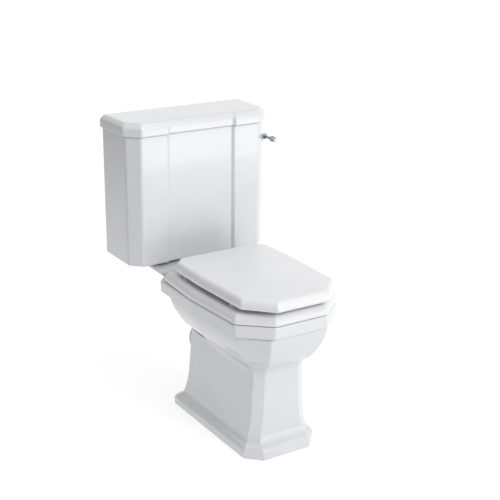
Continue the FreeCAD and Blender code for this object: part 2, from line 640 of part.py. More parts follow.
def hinge_arms(label, x, leaf_base, bore):
    """Two knuckles round the hinge bar, each with a flat leaf that reaches over its board."""
    arms = []
    for side, across in sided(x):
        left = f"{across} - arm_width / 2"
        centre = (left, "hinge_y", "hinge_height")
        knuckle = cylinder(f"{label}_knuckle_{side}", "knuckle_radius", "arm_width", centre, "X")
        leaf = box(f"{label}_leaf_{side}", (left, "hinge_y - leaf_length", leaf_base),
                   (f"{left} + arm_width", "hinge_y - leaf_root", f"{leaf_base} + leaf"))
        hole = cylinder(f"{label}_hole_{side}", bore, "arm_width", centre, "X")
        tools = [hole]
        for step in range(2):
            tools.append(cylinder(f"{label}_screw_hole_{side}_{step}", "screw_radius + fit_gap",
                                  "leaf + 2 * overcut",
                                  (across, leaf_screw_y(step), f"{leaf_base} - overcut")))
        arms.append(cut(f"{label}_{side}", fuse(f"{label}_blank_{side}", [knuckle, leaf]), tools))
    return node(group(label, arms), label)


def hinge_screws(label, x, head_z, shank_z):
    """Four screws of one board: a pan head on the leaf and a shank in the board."""
    screws = []
    for side, across in sided(x):
        for step in range(2):
            y = leaf_screw_y(step)
            name = f"{label}_{side}_{step}"
            head = cylinder(name + "_head", "2 * screw_radius", "screw_head", (across, y, head_z))
            shank = cylinder(name + "_shank", "screw_radius", "screw_length", (across, y, shank_z))
            screws.append(fuse(name, [head, shank]))
    return node(group(label, screws), label)


def seat_hinge():
    """Fixed half of the hinge: posts on the rim, the bar through them and their fixings."""
    gap = "bar_radius + running_gap"
    posts = []
    studs = []
    sleeves = []
    for side, x in sided("post_x"):
        foot = cylinder(f"post_foot_{side}", "post_foot_radius", "post_foot", (x, "hinge_y", "rim_height"))
        pillar = box(f"post_pillar_{side}",
                     (f"{x} - post_half_width", "hinge_y - post_half_width",
                      "rim_height + post_foot - overcut"),
                     (f"{x} + post_half_width", "hinge_y + post_half_width", "hinge_height"))
        centre = (f"{x} - post_half_width", "hinge_y", "hinge_height")
        eye = cylinder(f"post_eye_{side}", "knuckle_radius", "2 * post_half_width", centre, "X")
        blank = fuse(f"post_blank_{side}", [foot, pillar, eye])
        holes = [cylinder(f"post_bore_{side}", "bar_radius", "2 * post_half_width", centre, "X"),
                 cylinder(f"post_tap_{side}", "stud_radius", "tap_depth + overcut",
                          (x, "hinge_y", "rim_height - overcut"))]
        posts.append(cut(f"hinge_post_{side}", blank, holes))
        bottom = "rim_height - sleeve_depth"
        studs.append(cylinder(f"hinge_stud_{side}", "stud_radius",
                              "sleeve_depth - sleeve_floor + tap_depth",
                              (x, "hinge_y", f"{bottom} + sleeve_floor")))
        sleeves.append(tube(f"hinge_sleeve_{side}", "sleeve_radius", "stud_radius", "sleeve_depth",
                            (x, "hinge_y", bottom)))
    node(group("hinge_posts", posts), "hinge_posts")
    node(group("hinge_studs", studs), "hinge_studs")
    node(group("hinge_sleeves", sleeves), "hinge_sleeves")
    node(cylinder("hinge_bar", "bar_radius", "2 * bar_half_length",
                  ("-bar_half_length", "hinge_y", "hinge_height"), "X"), "hinge_bar")
    hinge_arms("ring_hinge_arms", "ring_arm_x", "ring_top", gap)
    hinge_arms("lid_hinge_arms", "lid_arm_x", "lid_base - leaf", gap)
    hinge_screws("ring_hinge_screws", "ring_arm_x", "ring_top + leaf",
                 "ring_top + leaf - screw_length")
    hinge_screws("lid_hinge_screws", "lid_arm_x", "lid_base - leaf - screw_head",
                 "lid_base - leaf")


# ---------------------------------------------------------------- flush lever

def lever():
    wall = "cistern_half_width"
    axis = ("lever_y", "lever_height")
    hub_x = f"{wall} + rose_depth + hub_gap"
    hub_middle = f"{hub_x} + hub_length / 2"
    rose = fuse("rose_blank", [
        cylinder("rose_disc", "rose_radius", "rose_flange", (wall, *axis), "X"),
        cone("rose_dome", "rose_dome_radius", "rose_tip_radius", "rose_depth - rose_flange",
             (f"{wall} + rose_flange", *axis), "X"),
    ])
    node(cut("lever_rose", rose, [
        cylinder("rose_recess", "bush_radius + rest_gap", "bush_outside + overcut", (wall, *axis), "X"),
        cylinder("rose_bore", "spindle_radius + rest_gap", "rose_depth", (wall, *axis), "X"),
    ]), "lever_rose")
    node(tube("lever_bush", "bush_radius", "spindle_radius + running_gap", "bush_inside + bush_outside",
              (f"{wall} - bush_inside", *axis), "X"), "lever_bush")
    node(tube("lever_backnut", "lever_nut_radius", "bush_radius", "lever_nut_height",
              (f"{wall} - cistern_wall - lever_nut_height", *axis), "X"), "lever_backnut")
    node(cylinder("lever_spindle", "spindle_radius", "spindle_outer_x - spindle_inner_x",
                  ("spindle_inner_x", *axis), "X"), "lever_spindle")
    knob_at = (hub_middle, "lever_y - knob_reach", "lever_height")
    hub = cylinder("lever_hub", "hub_radius", "hub_length", (hub_x, *axis), "X")
    arm = cone("lever_arm", "arm_tip_radius", "arm_root_radius", "knob_reach - arm_tip_radius", knob_at,
               "Y")
    knob = sphere("lever_knob", "knob_radius", knob_at)
    bore = cylinder("lever_bore", "spindle_radius", f"spindle_outer_x - ({hub_x})", (hub_x, *axis), "X")
    node(cut("lever_handle", fuse("lever_blank", [hub, arm, knob]), [bore]), "lever_handle")
    boss = cylinder("crank_boss", "hub_radius", "crank_thickness", ("crank_x", *axis), "X")
    blade = box("crank_blade", ("crank_x", "lever_y", "lever_height - crank_half_height"),
                ("crank_x + crank_thickness", "lever_y + crank_length",
                 "lever_height + crank_half_height"))
    eye = cylinder("crank_bore", "spindle_radius", "crank_thickness", ("crank_x", *axis), "X")
    node(cut("lever_crank", fuse("crank_blank", [boss, blade]), [eye]), "lever_crank")


# ---------------------------------------------------------------- siphon and coupling

def siphon():
    centre = ("0", "inlet_y")
    bell = ("bell_x", "inlet_y")
    seat = "cistern_base + cistern_floor + siphon_washer"
    bridge_floor = "bridge_base + siphon_wall"
    shell = fuse("siphon_blank", [
        cylinder("siphon_leg", "siphon_radius", "bridge_base - siphon_tail_end + overcut",
                 (*centre, "siphon_tail_end")),
        cylinder("siphon_collar", "siphon_flange_radius", "siphon_flange", (*centre, seat)),
        cylinder("siphon_bell", "bell_radius", "bridge_base - bell_base + overcut",
                 (*bell, "bell_base")),
        box("siphon_bridge", ("-siphon_radius", "inlet_y - bridge_half_depth", "bridge_base"),
            ("bell_x + bell_radius", "inlet_y + bridge_half_depth", "bridge_top")),
    ])
    node(cut("siphon_body", shell, [
        cylinder("leg_bore", "siphon_radius - siphon_wall",
                 f"{bridge_floor} - siphon_tail_end + 2 * overcut",
                 (*centre, "siphon_tail_end - overcut")),
        cylinder("bell_bore", "bell_radius - siphon_wall", "bridge_base - bell_base + overcut",
                 (*bell, "bell_base - overcut")),
        cylinder("bell_throat", "siphon_radius - siphon_wall", "siphon_wall + 2 * overcut",
                 (*bell, "bridge_base - overcut")),
        box("bridge_bore", ("siphon_wall - siphon_radius", "inlet_y - bridge_half_depth + siphon_wall",
                            bridge_floor),
            ("bell_x + bell_radius - siphon_wall", "inlet_y + bridge_half_depth - siphon_wall",
             "bridge_top - siphon_wall")),
        cylinder("rod_hole", "rod_radius + rod_gap", "siphon_wall + 2 * overcut",
                 (*bell, "bridge_top - siphon_wall - overcut")),
    ]), "siphon_body")
    pin_height = "lever_height + crank_half_height + rod_radius + pin_gap"
    rod = cylinder("rod", "rod_radius", f"{pin_height} - disc_height", (*bell, "disc_height"))
    disc = cylinder("disc", "bell_radius - siphon_wall - disc_gap", "disc_thickness",
                    (*bell, "disc_height"))
    pin = cylinder("rod_pin", "rod_radius", "bell_x - crank_x + 2 * pin_overhang",
                   ("crank_x - pin_overhang", "inlet_y", pin_height), "X")
    crown = sphere("rod_crown", "crown_radius", (*bell, pin_height))
    node(fuse("siphon_lift_rod", [rod, disc, pin, crown]), "siphon_lift_rod")
    node(tube("siphon_washer", "siphon_flange_radius", "siphon_radius", "siphon_washer",
              (*centre, "cistern_base + cistern_floor")), "siphon_washer")
    below = "cistern_base - plate_thickness"
    nut = prism("siphon_backnut_blank", "nut_radius", "nut_height", (*centre, f"{below} - nut_height"))
    bore = cylinder("siphon_backnut_bore", "siphon_radius", "nut_height",
                    (*centre, f"{below} - nut_height"))
    node(cut("siphon_backnut", nut, [bore]), "siphon_backnut")


def coupling():
    """Plate, studs, flat washers, wing nuts and the doughnut washer between cistern and pan."""
    centre = ("0", "inlet_y")
    below = "cistern_base - plate_thickness"
    plate = box("plate_blank", ("-stud_x - plate_margin", "inlet_y - plate_half_depth", below),
                ("stud_x + plate_margin", "inlet_y + plate_half_depth", "cistern_base"))
    node(cut("coupling_plate", plate, [
        cylinder("plate_hole", "siphon_radius + plate_gap", "plate_thickness", (*centre, below)),
    ]), "coupling_plate")
    node(tube("doughnut_washer", "socket_radius - doughnut_gap", "nut_radius + plate_gap",
              f"{below} - deck_height + socket_depth", (*centre, "deck_height - socket_depth")),
         "doughnut_washer")
    studs = []
    washers = []
    nuts = []
    for side, x in sided("stud_x"):
        studs.append(cylinder(f"coupling_stud_{side}", "coupling_stud_radius", f"{below} - stud_end",
                              (x, "inlet_y", "stud_end")))
        washers.append(tube(f"coupling_washer_{side}", "stud_washer_radius",
                            "coupling_stud_radius + rest_gap", "stud_washer",
                            (x, "inlet_y", "stud_seat - stud_washer")))
        low = "stud_seat - stud_washer - wing_nut_height"
        boss = cylinder(f"wing_boss_{side}", "wing_boss_radius", "wing_nut_height", (x, "inlet_y", low))
        wings = box(f"wings_{side}",
                    (f"{x} - wing_half_thickness", "inlet_y - wing_reach", f"{low} - wing_drop"),
                    (f"{x} + wing_half_thickness", "inlet_y + wing_reach",
                     f"{low} + wing_nut_height - wing_shoulder"))
        bore = cylinder(f"wing_bore_{side}", "coupling_stud_radius",
                        "wing_nut_height + wing_drop + 2 * overcut",
                        (x, "inlet_y", f"{low} - wing_drop - overcut"))
        nuts.append(cut(f"wing_nut_{side}", fuse(f"wing_blank_{side}", [boss, wings]), [bore]))
    node(group("coupling_studs", studs), "coupling_studs")
    node(group("coupling_washers", washers), "coupling_washers")
    node(group("coupling_wing_nuts", nuts), "coupling_wing_nuts")


# ---------------------------------------------------------------- fill valve

def fill_valve():
    at = ("-valve_x", "valve_y")
    seat = "cistern_base + cistern_floor + valve_washer"
    shank_end = "cistern_base - valve_nut_height"
    tail = cylinder("valve_tail", "valve_tail_radius", f"{shank_end} - valve_tail_end",
                    (*at, "valve_tail_end"))
    shank = cylinder("valve_shank", "valve_shank_radius", f"{seat} - ({shank_end})", (*at, shank_end))
    flange = cylinder("valve_collar", "valve_flange_radius", "valve_flange", (*at, seat))
    stem = cylinder("valve_stem", "valve_body_radius", f"valve_head_height - ({seat})", (*at, seat))
    head = cylinder("valve_head", "valve_head_radius", "valve_head_length",
                    ("-valve_x - valve_head_radius", "valve_y", "valve_head_height"), "X")
    cheeks = []
    for side, y in (("near", "valve_y - cheek_gap - cheek_thickness"), ("far", "valve_y + cheek_gap")):
        cheeks.append(box(f"valve_cheek_{side}",
                          ("-valve_x + cheek_root", y, "float_pivot_height - cheek_drop"),
                          ("-float_pivot_x + cheek_reach", f"{y} + cheek_thickness",
                           "float_pivot_height + cheek_rise")))
    blank = fuse("valve_blank", [tail, shank, flange, stem, head, *cheeks])
    node(cut("fill_valve_body", blank, [
        cylinder("valve_bore", "piston_radius + running_gap", "valve_head_length",
                 ("-valve_x - piston_floor", "valve_y", "valve_head_height"), "X"),
        cylinder("valve_pin_bore", "pivot_pin_radius", "pivot_pin_length + 2 * overcut",
                 ("-float_pivot_x", "valve_y - pivot_pin_length / 2 - overcut", "float_pivot_height"),
                 "Y"),
    ]), "fill_valve_body")
    node(cylinder("valve_piston", "piston_radius", "piston_length",
                  ("-valve_x + piston_start", "valve_y", "valve_head_height"), "X"), "valve_piston")
    float_swing()
    node(tube("fill_valve_washer", "valve_flange_radius", "valve_shank_radius", "valve_washer",
              (*at, "cistern_base + cistern_floor")), "fill_valve_washer")
    nut = prism("valve_nut_blank", "valve_nut_radius", "valve_nut_height", (*at, shank_end))
    bore = cylinder("valve_nut_bore", "valve_shank_radius", "valve_nut_height", (*at, shank_end))
    node(cut("fill_valve_backnut", nut, [bore]), "fill_valve_backnut")


def float_swing():
    """Pin, arm and ball of the float; the arm's finger stands up beside the piston."""
    pivot = ("-float_pivot_x", "valve_y", "float_pivot_height")
    node(cylinder("float_pivot_pin", "pivot_pin_radius", "pivot_pin_length",
                  ("-float_pivot_x", "valve_y - pivot_pin_length / 2", "float_pivot_height"), "Y"),
         "float_pivot_pin")
    boss = cylinder("float_arm_boss", "arm_boss_radius", "arm_boss_width",
                    ("-float_pivot_x", "valve_y - arm_boss_width / 2", "float_pivot_height"), "Y")
    finger = box("float_arm_finger",
                 ("-float_pivot_x - finger_far", "valve_y - finger_half_width", "float_pivot_height"),
                 ("-float_pivot_x - finger_near", "valve_y + finger_half_width",
                  "valve_head_height + finger_rise"))
    reach = "float_pivot_x - float_x - float_radius + float_grip"
    rod = cylinder("float_arm_rod", "arm_rod_radius", reach, pivot, "X")
    hole = cylinder("float_arm_hole", "pivot_pin_radius + running_gap", "arm_boss_width + 2 * overcut",
                    ("-float_pivot_x", "valve_y - arm_boss_width / 2 - overcut",
                     "float_pivot_height"), "Y")
    node(cut("float_arm", fuse("float_arm_blank", [boss, finger, rod]), [hole]), "float_arm")
    node(sphere("float_ball", "float_radius", ("-float_x", "valve_y", "float_height")), "float_ball")


def floor_fixings():
    """Two screws through the foot and the caps over their heads."""
    screws = []
    caps = []
    for side, x in sided("floor_screw_x"):
        head_base = "cap_base - floor_head_height"
        shank = cylinder(f"floor_shank_{side}", "floor_screw_radius",
                         f"{head_base} - floor_screw_start", (x, "0", "floor_screw_start"))
        head = cone(f"floor_head_{side}", "floor_screw_radius", "floor_head_radius",
                    "floor_head_height", (x, "0", head_base))
        screws.append(fuse(f"floor_screw_{side}", [shank, head]))
        skirt = cylinder(f"cap_skirt_{side}", "cap_radius", "cap_skirt", (x, "0", "cap_base"))
        crown = cone(f"cap_crown_{side}", "cap_radius", "cap_radius - cap_bevel", "cap_bevel",
                     (x, "0", "cap_base + cap_skirt"))
        caps.append(fuse(f"floor_cap_{side}", [skirt, crown]))
    node(group("floor_screws", screws), "floor_screws")
    node(group("floor_screw_caps", caps), "floor_screw_caps")


# ---------------------------------------------------------------- build and export

def check_and_export():
    DOC.recompute()
    faults = []
    for piece in DOC.Objects:
        if {"Invalid", "Error"} & set(piece.State):
            faults.append(f"{piece.Name} {piece.State}")
    for piece in NODES:
        if piece.Shape.isNull() or not piece.Shape.isValid() or not piece.Shape.Solids:
            faults.append(f"{piece.Label} has no valid solid")
    if faults:
        raise RuntimeError("; ".join(faults))
    os.makedirs("parts", exist_ok=True)
    for piece in NODES:
        piece.Shape.exportStep(f"parts/{piece.Label}.step")
        print(f"{piece.Label}: {len(piece.Shape.Solids)} solids, {piece.Shape.Volume / 1000:.1f} cm3")


pan()
cistern_tank()
cistern_lid()
seat_ring()
seat_lid()
seat_hinge()
buffers("ring_buffers", (("ring_buffer_x", "-ring_buffer_y"), ("ring_rear_buffer_x", "ring_rear_buffer_y")),
        "rim_height + rest_gap", "ring_base")
buffers("lid_buffers", (("lid_buffer_x", "-lid_buffer_y"), ("lid_rear_buffer_x", "lid_rear_buffer_y")),
        "ring_top + rest_gap", "lid_base")
lever()
siphon()
coupling()
fill_valve()
floor_fixings()
check_and_export()
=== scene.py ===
import json
import math

import bmesh
import bpy
from mathutils import Matrix, Vector


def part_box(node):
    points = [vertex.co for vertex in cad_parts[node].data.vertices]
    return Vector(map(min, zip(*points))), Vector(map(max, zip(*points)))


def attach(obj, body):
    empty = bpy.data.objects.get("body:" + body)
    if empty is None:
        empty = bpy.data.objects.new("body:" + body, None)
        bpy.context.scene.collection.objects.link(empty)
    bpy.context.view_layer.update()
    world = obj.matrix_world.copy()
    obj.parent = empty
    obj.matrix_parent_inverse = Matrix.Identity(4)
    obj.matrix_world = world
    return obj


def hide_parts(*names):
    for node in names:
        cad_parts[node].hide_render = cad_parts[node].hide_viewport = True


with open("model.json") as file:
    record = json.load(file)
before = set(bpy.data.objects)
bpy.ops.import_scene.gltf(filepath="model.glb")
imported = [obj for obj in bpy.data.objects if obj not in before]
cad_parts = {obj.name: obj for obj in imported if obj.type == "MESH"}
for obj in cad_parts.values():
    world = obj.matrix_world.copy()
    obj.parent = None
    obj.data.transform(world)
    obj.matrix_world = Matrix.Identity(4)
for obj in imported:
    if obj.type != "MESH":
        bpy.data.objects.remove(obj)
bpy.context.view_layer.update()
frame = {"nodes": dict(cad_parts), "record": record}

# Sizes of the object are in millimetres, in the row frame: floor at z 0, front of the bowl towards -Y.
# Bumps, the weld, the floor, the bright sheet, lamps and camera are in metres.
MM = 0.001


def extent(node):
    """Lowest and highest corner of a CAD node."""
    return [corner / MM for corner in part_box(node)]


def pivot(joint):
    """A point on the axis of a joint."""
    rows = {row["name"]: row for row in frame["record"]["behaviour"]["joints"]}
    return Vector(rows[joint]["pos_m"]) / MM


TANK_LOW, TANK_HIGH = extent("cistern_tank")
COVER_LOW, COVER_HIGH = extent("cistern_lid")
HINGE = pivot("ring_hinge")
LEVER = pivot("flush_lever")

# heights of the pan
FOOT_TOP = 22.5
MOULDING_TOP = 56
WAIST_HEIGHT = 140
CREASE = 250
RIM_BOTTOM = 376
RIM_TOP = 410
DECK_TOP = 430
OUTLET_HEIGHT = 190

# arc that the bowl's faces follow inwards below the rim, and the swell that fills it out
BOWL_RADIUS = 137
BOWL_SWELL = 5
SWELL_DEPTH = 44
BAND_LEDGE = 3
NOSE_SLOPE = 0.445
SHOULDER_SLOPE = 0.384
TAIL_SLOPE = 1.2

# heights of the seat
RING_BOTTOM = 412
RING_SHOULDER = 426
RING_TOP = 440
LID_BOTTOM = 454
LID_SHOULDER = 468
LID_TOP = 482
LID_CROWN = 3.5
LID_MIDDLE = -65

POST_X = 77.5

# an arc takes at most this share of the shorter edge beside its corner
LONGEST_REACH = 0.47
SHORTEST_REACH = 1e-4
SLIGHTEST_TURN = 0.01
SMALLEST_RADIUS = 0.8
WELD = 0.00002


# ---------------------------------------------------------------- outlines and skins

def fillet(path, radii, steps, closed=False):
    """Points of a path whose corners are replaced by arcs; each corner gives steps + 1 points."""
    points = []
    last = len(path) - 1
    for index, corner in enumerate(path):
        if not closed and index in (0, last):
            points.append(corner.copy())
            continue
        into = corner - path[index - 1]
        out = path[(index + 1) % len(path)] - corner
        room = LONGEST_REACH * min(into.length, out.length)
        if room < SHORTEST_REACH:
            points += [corner.copy() for _ in range(steps + 1)]
            continue
        into.normalize()
        out.normalize()
        turn = math.acos(max(-1, min(1, into.dot(out))))
        if turn < SLIGHTEST_TURN:
            reach = min(radii[index], room)
            points += [corner + into * reach * (2 * s / steps - 1) for s in range(steps + 1)]
            continue
        reach = min(radii[index] * math.tan(turn / 2), room)
        bend = reach / math.tan(turn / 2)
        centre = corner + (out - into).normalized() * bend / math.cos(turn / 2)
        first = corner - into * reach - centre
        final = corner + out * reach - centre
        for s in range(steps + 1):
            share = s / steps
            arm = first * math.sin((1 - share) * turn) + final * math.sin(share * turn)
            points.append(centre + arm / math.sin(turn))
    return points


def mirrored(half):
    """Closed outline from its right half, given as (x, y, corner radius) from front to back."""
    return list(half) + [(-x, y, r) for x, y, r in reversed(half)]


def inset(outline, distance):
    """The outline with every edge moved inwards and its corners met again."""
    moved = []
    for index, (x, y, radius) in enumerate(outline):
        here = Vector((x, y))
        into = (here - Vector(outline[index - 1][:2])).normalized()
        out = (Vector(outline[(index + 1) % len(outline)][:2]) - here).normalized()
        scale = distance / (1 + into.dot(out))
        side = math.copysign(1, into.x * out.y - into.y * out.x)
        moved.append((x - (into.y + out.y) * scale, y + (into.x + out.x) * scale,
                      max(radius - side * distance, SMALLEST_RADIUS)))
    return moved


def between(first, second, share):
    """Outline part of the way from one to another with the same number of corners."""
    return [tuple(a + (b - a) * share for a, b in zip(p, q)) for p, q in zip(first, second)]


def ring(outline, z, distance=0, steps=6):
    """Rounded outline at a height, as points."""
    corners = inset(outline, distance) if distance else outline
    path = [Vector((x, y, z)) for x, y, _ in corners]
    return fillet(path, [r for _, _, r in corners], steps, closed=True)


def oval_like(model, z, centre_y, half_width, half_length):
    """Oval ring whose points lie in the same directions as those of a model ring."""
    points = []
    for p in model:
        angle = math.atan2((p.y - centre_y) / half_length, p.x / half_width)
        points.append(Vector((half_width * math.cos(angle), centre_y + half_length * math.sin(angle), z)))
    return points


def scaled(model, share, centre_y, z):
    """A ring drawn in towards a point on the plane of symmetry."""
    return [Vector((p.x * share, centre_y + (p.y - centre_y) * share, z)) for p in model]


def skin(name, sections, radii, steps=5, closed=False):
    """Mesh through rings of equal length, rounded at each ring by one radius or by one for each point."""
    columns = []
    for i in range(len(sections[0])):
        edges = [radius[i] if isinstance(radius, list) else radius for radius in radii]
        columns.append(fillet([section[i] for section in sections], edges, steps, closed))
    mesh = bmesh.new()
    grid = [[mesh.verts.new(p * MM) for p in column] for column in columns]
    rows = len(grid[0])
    for i, column in enumerate(grid):
        following = grid[(i + 1) % len(grid)]
        for j in range(rows if closed else rows - 1):
            k = (j + 1) % rows
            mesh.faces.new((column[j], following[j], following[k], column[k]))
    if not closed:
        mesh.faces.new([column[0] for column in reversed(grid)])
        mesh.faces.new([column[-1] for column in grid])
    return finished(name, mesh)


def finished(name, mesh):
    """Object of a welded, smoothly shaded mesh whose flat faces stay flat."""
    bmesh.ops.remove_doubles(mesh, verts=mesh.verts, dist=WELD)
    bmesh.ops.recalc_face_normals(mesh, faces=mesh.faces)
    for face in mesh.faces:
        face.smooth = True
    data = bpy.data.meshes.new(name)
    mesh.to_mesh(data)
    mesh.free()
    piece = bpy.data.objects.new(name, data)
    bpy.context.scene.collection.objects.link(piece)
    flat = piece.modifiers.new("flat_faces", "WEIGHTED_NORMAL")
    flat.weight = 90
    return piece


def turned(name, profile, centre, axis, steps=40):
    """Mesh of a profile of (distance along the axis, radius, edge radius) turned round an axis."""
    along = [Vector((d, r, 0)) for d, r, _ in profile]
    rounded = fillet(along, [edge for _, _, edge in profile], 4)
    frames = {"X": Matrix.Identity(3), "Y": Matrix.Rotation(math.pi / 2, 3, "Z"),
              "Z": Matrix.Rotation(-math.pi / 2, 3, "Y")}
    mesh = bmesh.new()
    grid = []
    for s in range(steps):
        angle = 2 * math.pi * s / steps
        column = []
        for p in rounded:
            point = Vector((p.x, p.y * math.cos(angle), p.y * math.sin(angle)))
            column.append(mesh.verts.new((frames[axis] @ point + Vector(centre)) * MM))
        grid.append(column)
    for i, column in enumerate(grid):
        following = grid[(i + 1) % steps]
        for j in range(len(rounded) - 1):
            mesh.faces.new((column[j], column[j + 1], following[j + 1], following[j]))
    return finished(name, mesh)


# ---------------------------------------------------------------- materials

def principled(name, color, roughness, metallic=0.0, coat=0.0, coat_roughness=0.03):
    """Material with one Principled shader, and the shader."""
    material = bpy.data.materials.new(name)
    material.use_nodes = True
    shader = material.node_tree.nodes["Principled BSDF"]
    shader.inputs["Base Color"].default_value = (*color, 1)
    shader.inputs["Roughness"].default_value = roughness
    shader.inputs["Metallic"].default_value = metallic
    shader.inputs["IOR"].default_value = 1.5
    shader.inputs["Coat Weight"].default_value = coat
    shader.inputs["Coat Roughness"].default_value = coat_roughness
    return material, shader


def ripple(material, shader, scale, strength, distance):
    """Slow unevenness of a surface, as a bump from noise."""
    nodes = material.node_tree.nodes
    links = material.node_tree.links
    place = nodes.new("ShaderNodeTexCoord")
    noise = nodes.new("ShaderNodeTexNoise")
    noise.inputs["Scale"].default_value = scale
    noise.inputs["Detail"].default_value = 2
    bump = nodes.new("ShaderNodeBump")
    bump.inputs["Strength"].default_value = strength
    bump.inputs["Distance"].default_value = distance
    links.new(place.outputs["Object"], noise.inputs["Vector"])
    links.new(noise.outputs["Fac"], bump.inputs["Height"])
    links.new(bump.outputs["Normal"], shader.inputs["Normal"])


def tint(material, shader, scale, first, second):
    """Slight change of colour over a surface."""
    nodes = material.node_tree.nodes
    links = material.node_tree.links
    place = nodes.new("ShaderNodeTexCoord")
    noise = nodes.new("ShaderNodeTexNoise")
    noise.inputs["Scale"].default_value = scale
    noise.inputs["Detail"].default_value = 3
    colors = nodes.new("ShaderNodeValToRGB")
    colors.color_ramp.elements[0].position = 0.35
    colors.color_ramp.elements[0].color = (*first, 1)
    colors.color_ramp.elements[1].position = 0.65
    colors.color_ramp.elements[1].color = (*second, 1)
    links.new(place.outputs["Object"], noise.inputs["Vector"])
    links.new(noise.outputs["Fac"], colors.inputs["Fac"])
    links.new(colors.outputs["Color"], shader.inputs["Base Color"])


def china():
    """White vitreous china under a clear glaze that runs a little uneven."""
    dark = (0.56, 0.563, 0.584)
    light = (0.58, 0.583, 0.602)
    material, shader = principled("vitreous_china", dark, 0.3, coat=0.8, coat_roughness=0.07)
    tint(material, shader, 9, dark, light)
    ripple(material, shader, 7, 0.12, 0.004)
    return material


def lacquer():
    """White lacquered board of the seat."""
    material, shader = principled("seat_board", (0.63, 0.631, 0.648), 0.28, coat=0.6, coat_roughness=0.06)
    ripple(material, shader, 5, 0.05, 0.003)
    return material


def chrome():
    """Polished chrome of the lever and the hinge posts."""
    material, shader = principled("chrome", (0.4, 0.41, 0.43), 0.12, metallic=1)
    ripple(material, shader, 60, 0.04, 0.0005)
    return material


def steel():
    """Zinc plated steel of studs, screws, plate and hinge arms."""
    dark = (0.48, 0.49, 0.51)
    light = (0.57, 0.58, 0.6)
    material, shader = principled("steel", dark, 0.34, metallic=1)
    tint(material, shader, 120, dark, light)
    return material


def brass():
    """Dull turned brass."""
    dark = (0.44, 0.37, 0.25)
    light = (0.54, 0.47, 0.34)
    material, shader = principled("brass", dark, 0.35, metallic=1)
    tint(material, shader, 90, dark, light)
    return material


def rubber():
    """Black rubber of the washers."""
    material, shader = principled("rubber", (0.035, 0.035, 0.037), 0.62)
    ripple(material, shader, 300, 0.15, 0.0004)
    return material


def pale_rubber():
    """Pale rubber of the seat's buffers."""
    material, shader = principled("pale_rubber", (0.6, 0.6, 0.59), 0.55)
    ripple(material, shader, 300, 0.1, 0.0004)
    return material


def plastic(name, color, roughness):
    """Moulded plastic."""
    material, shader = principled(name, color, roughness)
    ripple(material, shader, 200, 0.06, 0.0004)
    return material


def make_materials():
    """Every material by the name of its slot, with the buffers' own."""
    return {
        "vitreous_china": china(),
        "seat_board": lacquer(),
        "chrome": chrome(),
        "steel": steel(),
        "brass": brass(),
        "rubber": rubber(),
        "pale_rubber": pale_rubber(),
        "valve_plastic": plastic("valve_plastic", (0.66, 0.68, 0.7), 0.42),
        "float_plastic": plastic("float_plastic", (0.7, 0.22, 0.04), 0.3),
        "cap_plastic": plastic("cap_plastic", (0.57, 0.57, 0.585), 0.3),
    }


def dress(piece, slot, body, *nodes):
    """Give a piece its material and body, and let it stand for CAD nodes."""
    piece.data.materials.append(MATERIALS[slot])
    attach(piece, body)
    if nodes:
        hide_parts(*nodes)


# ---------------------------------------------------------------- pan

FOOT = mirrored([(74.5, -220, 7), (114.5, -180, 7), (114.5, 208, 5), (102.5, 220, 5)])
BASE = mirrored([(68, -191, 7), (94.5, -167, 7), (94.5, 180, 6), (86.5, 188, 6)])
WAIST = mirrored([(57, -189, 7), (84, -168, 7), (84, 170, 6), (76, 178, 6)])
TOP = mirrored([(52, -188, 7), (80, -169, 7), (80, 162, 6), (72, 170, 6)])


def six_sided(outline):
    """A pedestal outline with one more corner on each side, so that it meets the bowl's."""
    right = outline[:4]
    belly = (right[1][0], -10, 20)
    return mirrored([right[0], right[1], belly, right[2], right[3]])


def bowl_outline(depth):
    """Outline of the bowl at a depth below the rim band; every face follows one arc inwards."""
    arc = BOWL_RADIUS - math.sqrt(BOWL_RADIUS ** 2 - depth ** 2)
    inward = BAND_LEDGE + arc + BOWL_SWELL * math.sin(depth / SWELL_DEPTH) ** 2
    return mirrored([
        (89 - NOSE_SLOPE * inward, -(271 - inward), 9),
        (154 - inward, -(201 - SHOULDER_SLOPE * inward), 9),
        (164 - inward, 10, 60),
        (160 - inward, 150 - inward, 9),
        (130 - inward, 183 - TAIL_SLOPE * inward, 9),
    ])


RIM = mirrored([(80, -275, 7), (161, -205, 7), (172, 10, 90), (168, 183, 7), (140, 212, 7)])
BAND = mirrored([(82, -275, 7), (159, -206, 7), (170, 10, 90), (166, 184, 7), (139, 211, 7)])


def back_share(point):
    """How far a point of the crease belongs to the ledge behind the bowl, from 0 to 1."""
    ledge_start = -20
    ledge_length = 110
    share = max(0, min(1, (point.y - ledge_start) / ledge_length))
    return share * share * (3 - 2 * share)


def pedestal_steps():
    """Foot, moulding and pedestal, up to the bowl; each step is a ring and the radius of its edge."""
    foot = six_sided(FOOT)
    base = six_sided(BASE)
    waist = six_sided(WAIST)
    top = six_sided(TOP)
    steps = [(ring(foot, 0, 24), 0), (ring(foot, 0), 2.5), (ring(foot, FOOT_TOP), 5),
             (ring(between(foot, base, 0.12), 25), 3)]
    for share, z in ((0.2, 28.5), (0.33, 32), (0.5, 35), (0.66, 38), (0.8, 42), (0.92, 48)):
        steps.append((ring(between(foot, base, share), z), 2))
    steps.append((ring(base, MOULDING_TOP), 6))
    for z in (80, 110):
        below_waist = (WAIST_HEIGHT - z) / (WAIST_HEIGHT - MOULDING_TOP)
        steps.append((ring(between(base, waist, 1 - below_waist ** 2), z), 8))
    steps.append((ring(waist, WAIST_HEIGHT), 8))
    steps.append((ring(between(waist, top, 0.5), (WAIST_HEIGHT + CREASE) / 2), 8))
    return steps


